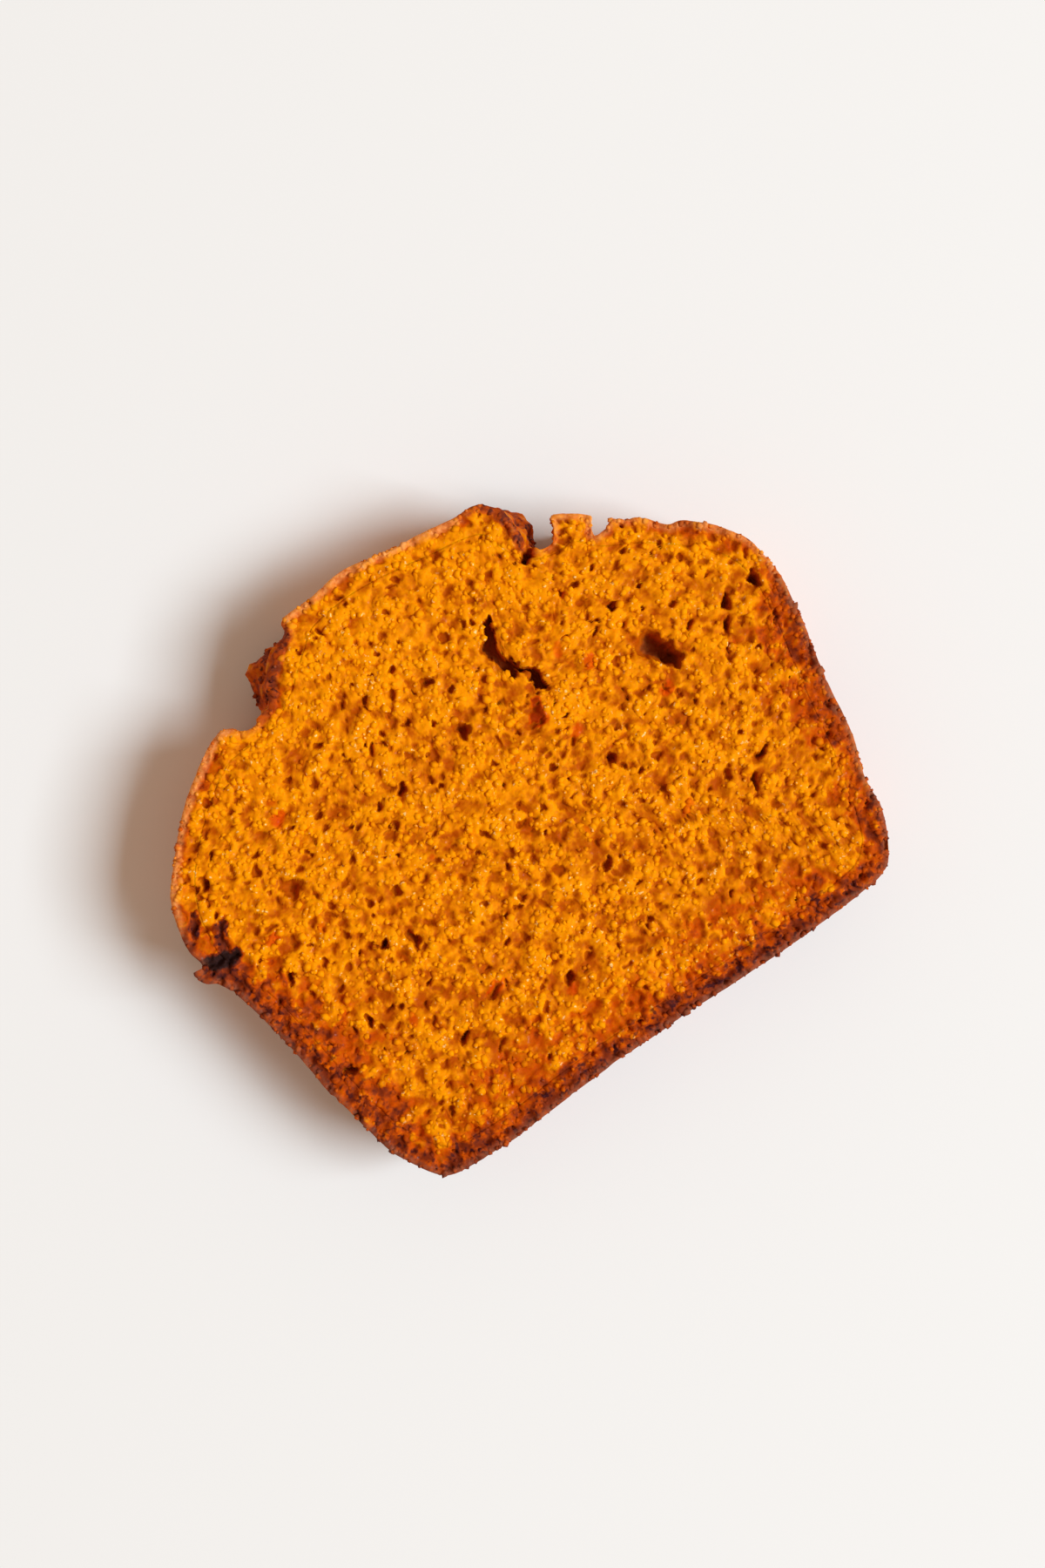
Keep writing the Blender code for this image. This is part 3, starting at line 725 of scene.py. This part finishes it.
def side_place(share, pick):
    """Where the picked points of the rim are, this share of the way down: rounded at the upper
    edge by a quarter ellipse, drawn back where crust broke away, shaved towards the foot."""
    rounding = 1 - np.sqrt(1 - np.maximum(0, 1 - share / LEAN_DEPTH) ** 2)
    place = rim[pick] + (low_rim - rim)[pick] * ease(share, 0.1, 0.8)
    place = place + drawn_back[pick] * chip[pick] * np.maximum(0, 1 - share / BREAK_DEPTH)
    return place - rim_normal[pick] * lean[pick] * rounding


def side_row(height):
    """One row round the side at this height: its places, level and five values."""
    dark, _, coarse = baked.T
    share = 1 - height / THICKNESS
    place = side_place(share, slice(None))
    points = np.column_stack([place, np.full(ROUND, height)])
    relief = side_relief(points) * coarse
    broken = ease(chip[:, 0] * (share < BREAK_DEPTH * 1.15), 0.2 * MM, 1.5 * MM)
    relief += broken * BREAK_RELIEF * rough_noise(points, 2.6 * MM, 95, 3)
    place = place + rim_normal * (relief - UNDERCUT * coarse * ease(share, 0.03, 0.12))[:, None]
    skin = dark * (0.95 + 0.3 * rough_noise(points, 7 * MM, 96, 3))
    skin = skin * (1 - broken) + broken * (0.62 + 0.3 * soft_noise(points, 2.5 * MM, 97))
    # Painted shade: the crust's pits count as hollows and take the hollows' darker colour; broken crust
    # gets a share of it too.
    pit_shade = np.clip(-relief / MM, 0, 1) * 0.8 + broken * 0.4
    # The sides' dull skin, with a painted sheen over it.
    side_skin_and_sheen = 0.45 * (1 - broken) * (1 + 0.6 * soft_noise(points, 9 * MM, 98))
    return place, points[:, 2], np.stack([pit_shade, relief / MM, skin, side_skin_and_sheen, 0 * skin])


# %% The crust's bands, edges and whole mesh
BAND_ROWS = 14
EDGE_ANGLES = np.radians([22.5, 45, 67.5])
EDGE_RADIUS = 0.55 * MM


def band_rows(seed, edge):
    """Rows of a cut face from the crust line out to one rounding's width from its edge."""
    inward = crust_line - edge
    shelf = edge + inward / np.linalg.norm(inward, axis=1, keepdims=True) * EDGE_RADIUS
    rows = []
    for share in np.linspace(0, 1, BAND_ROWS):
        place = crust_line + (shelf - crust_line) * share
        rows.append((place, *face_values(place, edge, seed)))
    return rows


def edge_rows(band_row, side, seed, angles):
    """Rows over the edge between a band's last row and the side: out by the sine of the angle
    and down by one less its cosine, while the crumb's relief dies away."""
    shelf, height, values = band_row
    rows = []
    for angle in angles:
        place = shelf + (side[0] - shelf) * math.sin(angle)
        drop = EDGE_RADIUS * (1 - math.cos(angle))
        rows.append((place, face_level(height * math.cos(angle) - drop, seed), values))
    return rows


def make_crust():
    """A closed profile of rows from the upper crust line, round the rim, to the lower one,
    and back to the first through a hidden row half way down."""
    upper = band_rows(UPPER, top_rim)
    lower = band_rows(LOWER, low_rim)
    sides = [side_row(height) for height in THICKNESS * np.linspace(SIDE_TOP, SIDE_FOOT, SIDE_ROWS)]
    rows = [(place, face_level(height, UPPER), values) for place, height, values in upper]
    rows += edge_rows(upper[-1], sides[0], UPPER, EDGE_ANGLES)
    rows += sides
    rows += edge_rows(lower[-1], sides[-1], LOWER, EDGE_ANGLES[::-1])
    rows += [(place, face_level(height, LOWER), values) for place, height, values in lower[::-1]]
    rows.append((crust_line, np.full(ROUND, THICKNESS / 2), lower[0][2]))
    points = np.vstack([np.column_stack([place, level]) for place, level, _ in rows])
    corner = np.arange(len(rows))[:, None] * ROUND + np.arange(ROUND)
    right = np.roll(corner, -1, axis=1)
    below = np.roll(corner, -1, axis=0)
    quads = np.stack([corner, below, np.roll(below, -1, axis=1), right], axis=-1).reshape(-1, 4)
    return make_piece("crust", points, quads.tolist(), np.hstack([values for _, _, values in rows]))


crust = make_crust()
print("crust", len(crust.data.polygons), "faces")

# %% [markdown]
# ## Grains
# A height can't overhang, but torn crumb does: granules cling to it by a neck. Thousands of
# small rough lumps, each of twenty faces, sit half sunk over the upper face and along the
# rim. They are thickest on the swells and leave the pores open.

# %% Rough balls
GRAIN_LEAST = 0.4 * MM
GRAIN_MOST = 0.85 * MM
GRAIN_SQUASH = 0.75


def ball_shape():
    """The points and faces of the twenty-sided ball, with points at distance 1."""
    ball = bmesh.new()
    bmesh.ops.create_icosphere(ball, subdivisions=1, radius=1)
    points = np.array([point.co for point in ball.verts])
    faces = np.array([[point.index for point in face.verts] for face in ball.faces])
    ball.free()
    return points, faces


def make_grains(name, centres, sizes, values, seed):
    """Joined rough balls: each ball is turned and squashed, and each of its points moves in
    or out by its own random share."""
    ball, faces = ball_shape()
    count = len(centres)
    cells = np.stack(np.meshgrid(np.arange(count), np.arange(len(ball)), indexing="ij"), axis=-1)
    rough = 0.6 + 0.75 * random_at(cells, seed)
    turn = 2 * math.pi * random_at(np.arange(count)[:, None], seed + 1)
    cos, sin = np.cos(turn)[:, None], np.sin(turn)[:, None]
    x = ball[:, 0] * cos - ball[:, 1] * sin
    y = ball[:, 0] * sin + ball[:, 1] * cos
    z = np.broadcast_to(ball[:, 2], x.shape) * GRAIN_SQUASH
    points = centres[:, None] + (sizes[:, None] * rough)[..., None] * np.stack([x, y, z], axis=-1)
    all_faces = (faces[None] + len(ball) * np.arange(count)[:, None, None]).reshape(-1, 3)
    each = np.repeat(values, len(ball), axis=1)
    # Painted light: a grain's top counts as more raised, so the crumb's colour paints it lighter, as if lit
    # from above.
    each[1] += 0.35 * (ball[:, 2][None] * np.ones((count, 1))).ravel()
    return make_piece(name, points.reshape(-1, 3), all_faces.tolist(), each)


# %% Grains on the crumb
GRAIN_CELL = 1.15 * MM
EDGE_CLEAR = 0.35 * MM  # no grain's middle is nearer to the edge
PORE_CLEAR = 0.35 * MM  # or has a deeper pore beside it


def crumb_grains():
    """Grains over the upper face, one a cell, kept where the face is neither pore nor hollow:
    the middles, sizes and values."""
    across = np.arange(int(low[0] / GRAIN_CELL) - 1, int(high[0] / GRAIN_CELL) + 1)
    up = np.arange(int(low[1] / GRAIN_CELL) - 1, int(high[1] / GRAIN_CELL) + 1)
    cells = np.stack(np.meshgrid(across, up, indexing="ij"), axis=-1).reshape(-1, 2)
    shift = np.stack([random_at(cells, 40), random_at(cells, 41)], axis=1)
    place = (cells + shift) * GRAIN_CELL
    gap, number = nearest_on(place, top_rim)
    inside = ((top_rim[number] - place) * outward(softened(top_rim, 3))[number]).sum(axis=1) > 0
    inside &= gap > EDGE_CLEAR
    place = place[inside]
    height, values = face_values(place, top_rim, UPPER)
    draw = random_at(cells[inside], 42)
    size = GRAIN_LEAST + (GRAIN_MOST - GRAIN_LEAST) * draw**2
    keep = (values[0] < 0.25) & (values[1] + 0.6 * soft_noise(place, 1.5 * MM, 43) > -0.1)
    for side in ((1, 0), (-1, 0), (0, 1), (0, -1)):
        beside = cut_face(place + 0.8 * size[:, None] * side, UPPER)[1]
        keep &= (beside < PORE_CLEAR) | (beside > 0.8 * TEAR_DEPTH)
    level = np.minimum(face_level(height, UPPER) - 0.25 * size, THICKNESS + 0.7 * MM - size)
    return np.column_stack([place, level])[keep], size[keep], values[:, keep]


# %% Grains on the crust
RIM_GRAINS = 1500
# Crumbs that cling to the upper edge, as (x, y, radius) in millimetres
STUCK_CRUMBS = [
    (-48.3, -36.8, 0.6), (22.5, -46, 0.55), (-31.7, -46.3, 0.5), (29.7, -46.1, 0.45), (-13, -45.7, 0.4),
    (40.3, 28.5, 0.5), (-25.4, 36.6, 0.6), (51.3, -30.6, 0.4), (1.4, -45.4, 0.4),
]


def values_at_rim(number):
    """The five values of a crumb that clings to these points of the rim."""
    dark = baked[number, 0]
    draw = random_at(number[:, None], 48)
    return np.stack([0 * dark, 0.6 * draw - 0.3, dark, 0.5 * draw, 0 * dark])


def rim_grains():
    """Grains along the upper edge and down the sides of the crust, fewer and fewer towards
    the foot, and then the placed ones: the middles, sizes and values."""
    draws = np.stack([random_at(np.arange(RIM_GRAINS)[:, None], 44 + k) for k in range(3)])
    number = (draws[0] * ROUND).astype(int)
    level = THICKNESS * (1 - 0.95 * draws[1] ** 1.6)
    size = 0.8 * (GRAIN_LEAST + (GRAIN_MOST - GRAIN_LEAST) * draws[2] ** 2)
    level = np.clip(level, size, THICKNESS - size)
    place = side_place((1 - level / THICKNESS)[:, None], number)
    place = place - rim_normal[number] * (0.7 * size[:, None])
    stuck = np.array(STUCK_CRUMBS) * MM
    _, beside = nearest_on(stuck[:, :2], rim)
    held = side_place(stuck[:, 2:] / THICKNESS, beside) - 0.15 * stuck[:, 2:] * rim_normal[beside]
    held = np.column_stack([held, THICKNESS - stuck[:, 2]])
    values = np.hstack([values_at_rim(number), values_at_rim(beside)])
    return np.vstack([np.column_stack([place, level]), held]), np.concatenate([size, stuck[:, 2]]), values


grains = make_grains("crumb_grains", *crumb_grains(), 50)
edge_grains = make_grains("crust_grains", *rim_grains(), 52)
print("grains", len(grains.data.polygons) + len(edge_grains.data.polygons), "faces")

# %% [markdown]
# ## Bread material
# Bread lets light in a little and shines only where it is moist, so its look is colour: a
# saturated golden orange with painted light on its lumps and painted glints on their tips,
# painted shade in the hollows, pores and tear, redder where light has bounced in a hollow,
# and browned towards the skin, whose outermost band is its own dull colour and a painted
# sheen. The mesh carries depth and browning, and noise varies them. The glow of light under
# the surface is left off the grains, which are too thin to hold it.

# %% Small helpers for node sums


def linear(red, green, blue):
    """A colour from 0 to 255, as a screen shows it, in the linear numbers a shader takes."""
    shown = np.array([red, green, blue]) / 255
    return (*np.where(shown <= 0.04045, shown / 12.92, ((shown + 0.055) / 1.055) ** 2.4), 1)


class Sum:
    """A material's socket that ordinary arithmetic can be written with."""

    def __init__(self, tree, socket):
        self.tree = tree
        self.socket = socket

    def math(self, operation, *numbers):
        """A Math node of these numbers or sockets."""
        node = self.tree.nodes.new("ShaderNodeMath")
        node.operation = operation
        for entry, number in zip(node.inputs, numbers):
            if isinstance(number, Sum):
                self.tree.links.new(number.socket, entry)
            else:
                entry.default_value = number
        return Sum(self.tree, node.outputs[0])

    def __add__(self, other):
        return self.math("ADD", self, other)

    def __radd__(self, other):
        return self.math("ADD", other, self)

    def __sub__(self, other):
        return self.math("SUBTRACT", self, other)

    def __rsub__(self, other):
        return self.math("SUBTRACT", other, self)

    def __mul__(self, other):
        return self.math("MULTIPLY", self, other)

    def __rmul__(self, other):
        return self.math("MULTIPLY", other, self)

    def between(self, start, end):
        """0 below start, 1 above end, and a smooth rise between."""
        node = self.tree.nodes.new("ShaderNodeMapRange")
        node.interpolation_type = "SMOOTHSTEP"
        self.tree.links.new(self.socket, node.inputs["Value"])
        node.inputs["From Min"].default_value = start
        node.inputs["From Max"].default_value = end
        return Sum(self.tree, node.outputs[0])


class Paint:
    """A new material with its shader, and the few nodes that this lesson uses."""

    def __init__(self, name):
        self.material = bpy.data.materials.new(name)
        self.material.use_nodes = True
        self.tree = self.material.node_tree
        self.shader = self.tree.nodes["Principled BSDF"]
        self.place = self.node("ShaderNodeTexCoord", output="Object")

    def node(self, kind, settings=None, inputs=None, output=0):
        """Any node: its settings, its inputs as numbers or sockets, and the output to use."""
        node = self.tree.nodes.new(kind)
        for name, setting in (settings or {}).items():
            setattr(node, name, setting)
        for name, value in (inputs or {}).items():
            if isinstance(value, Sum):
                self.tree.links.new(value.socket, node.inputs[name])
            else:
                node.inputs[name].default_value = value
        return Sum(self.tree, node.outputs[output])

    def attribute(self, name):
        """One of the numbers that the mesh carries at each point."""
        return self.node("ShaderNodeAttribute", {"attribute_name": name}, output="Fac")

    def noise(self, size, detail=2.0):
        """Noise from 0 to 1 with lumps of about this size."""
        inputs = {"Vector": self.place, "Scale": 1 / size, "Detail": detail}
        return self.node("ShaderNodeTexNoise", {}, inputs)

    def blend(self, share, first, second):
        """The first colour at share 0 and the second at 1; each a colour or a socket."""
        node = self.tree.nodes.new("ShaderNodeMix")
        node.data_type = "RGBA"
        self.tree.links.new(share.socket, node.inputs[0])
        for entry, colour in ((node.inputs[6], first), (node.inputs[7], second)):
            if isinstance(colour, Sum):
                self.tree.links.new(colour.socket, entry)
            else:
                entry.default_value = colour
        return Sum(self.tree, node.outputs[2])

    def use(self, name, value):
        """Feeds one input of the shader."""
        if isinstance(value, Sum):
            self.tree.links.new(value.socket, self.shader.inputs[name])
        else:
            self.shader.inputs[name].default_value = value


# %% Bread
CRUMB_DEEP = linear(182, 78, 0)
CRUMB_BRIGHT = linear(246, 150, 0)
PAINTED_GLINT = linear(255, 215, 140)
HOLLOW_SHADE = linear(174, 76, 0)
PORE_SHADE = linear(188, 84, 6)
DEEP_SHADE = linear(166, 78, 30)
TOASTED = linear(200, 80, 0)
BAKED_SKIN = linear(128, 46, 18)
CHARRED = linear(66, 22, 26)
BURNT = linear(50, 28, 26)
DARK_SKIN_AND_SHEEN = linear(142, 80, 56)
PALE_SKIN_AND_SHEEN = linear(248, 164, 90)
PUMPKIN = linear(214, 70, 0)
PUMPKIN_DARK = linear(136, 30, 0)
LIGHTER_UPWARDS = 2.4  # a metre, how fast the crumb's colour grows lighter towards the dome
ROUGHNESS = 0.6
SHINE = 0.03
MOIST_ROUGHNESS = 0.3
BUMP = 0.35 * MM
BUMP_STRENGTH = 0.5
GLOW = 0.5
GLOW_REACH = 0.4 * MM
GLOW_COLOURS = (1.0, 0.7, 0.3)


def bread_material(name, glow):
    """Layers of colour from the crumb outwards, each blended over the last by its own mask:
    crumb with painted light on its raised lumps, painted glints, pumpkin, painted shade in
    hollows, browning, burnt places, the skin's dull colour and painted sheen, and painted shade
    in pores and the deepest places."""
    paint = Paint(name)
    depth = paint.attribute("depth")
    raised = paint.attribute("raised")
    brown = paint.attribute("brown")
    skin_and_sheen = paint.attribute("skin_and_sheen")
    pumpkin = paint.attribute("pumpkin")
    patches = paint.noise(6 * MM)
    clumps = paint.noise(1.8 * MM, 2)
    fine = paint.noise(1.0 * MM, 1)
    specks = paint.noise(0.6 * MM, 1)
    upwards = paint.node("ShaderNodeSeparateXYZ", {}, {"Vector": paint.place}, "Y")
    # Painted light: the crumb is lighter where its lumps stand out, as lit tops, and darker between them;
    # the noises add random tone, and the colour also grows lighter towards the dome.
    tone_and_lit_tops = 0.95 * raised + 0.6 * (patches - 0.5) + 1.3 * (clumps - 0.5) + 0.6 * (fine - 0.5)
    tone_and_lit_tops = (tone_and_lit_tops + LIGHTER_UPWARDS * upwards + 0.5).between(0, 1)
    colour = paint.blend(tone_and_lit_tops, CRUMB_DEEP, CRUMB_BRIGHT)
    # Painted highlights: pale glints in the colour on the raised tips of the crumb.
    colour = paint.blend(0.75 * specks.between(0.66, 0.74) * raised.between(0.1, 0.4), colour, PAINTED_GLINT)
    colour = paint.blend(0.8 * pumpkin.between(0, 1), colour, PUMPKIN)
    colour = paint.blend(0.8 * pumpkin.between(0.9, 1.6), colour, PUMPKIN_DARK)
    # Painted shade: hollows and pores take darker, redder colours by their depth, as shade and light
    # bounced in them.
    shade_depth = depth + 0.5 * (fine - 0.5)
    colour = paint.blend(shade_depth.between(0.1, 0.7), colour, HOLLOW_SHADE)
    baked_here = brown + 1.6 * (clumps - 0.5 - 0.2 * raised) * brown.between(0, 0.35)
    colour = paint.blend(baked_here.between(0.02, 0.55), colour, TOASTED)
    colour = paint.blend(baked_here.between(0.4, 0.95), colour, BAKED_SKIN)
    colour = paint.blend(brown.between(0.3, 0.9) * fine.between(0.5, 0.68), colour, CHARRED)
    colour = paint.blend((brown + 0.8 * (clumps - 0.5)).between(0.9, 1.5), colour, BURNT)
    # The outermost skin: partly its own dull colour, partly a painted sheen, paler where the skin is thin.
    skin_and_sheen_colour = paint.blend(brown.between(0.42, 0.7), PALE_SKIN_AND_SHEEN, DARK_SKIN_AND_SHEEN)
    colour = paint.blend(skin_and_sheen * (0.4 + 0.6 * specks.between(0.3, 0.7)), colour, skin_and_sheen_colour)
    # Painted shade in pores, and deeper painted shade in the tear and the deepest hollows.
    colour = paint.blend(shade_depth.between(0.7, 1.5) * (1 - brown.between(0.6, 1.0)), colour, PORE_SHADE)
    colour = paint.blend(depth.between(3.0, 4.6), colour, DEEP_SHADE)
    paint.use("Base Color", colour)
    paint.use("Roughness", ROUGHNESS)
    paint.use("Specular IOR Level", SHINE)
    if glow:
        paint.use("Subsurface Weight", glow)
        paint.use("Subsurface Radius", GLOW_COLOURS)
        paint.use("Subsurface Scale", GLOW_REACH)
    paint.use("Coat Weight", 0.2 * specks.between(0.62, 0.74) * (1 - shade_depth.between(0, 0.6)))
    paint.use("Coat Roughness", MOIST_ROUGHNESS)
    relief = {"Strength": BUMP_STRENGTH, "Distance": BUMP, "Height": 0.7 * fine + 0.3 * specks}
    paint.use("Normal", paint.node("ShaderNodeBump", {}, relief, "Normal"))
    return paint.material


bread = bread_material("pumpkin_bread", GLOW)
for piece in (crumb_top, crumb_base, crust):
    piece.data.materials.append(bread)
loose_bread = bread_material("bread_grains", 0)
for piece in (grains, edge_grains):
    piece.data.materials.append(loose_bread)
print("bread nodes", len(bread.node_tree.nodes))
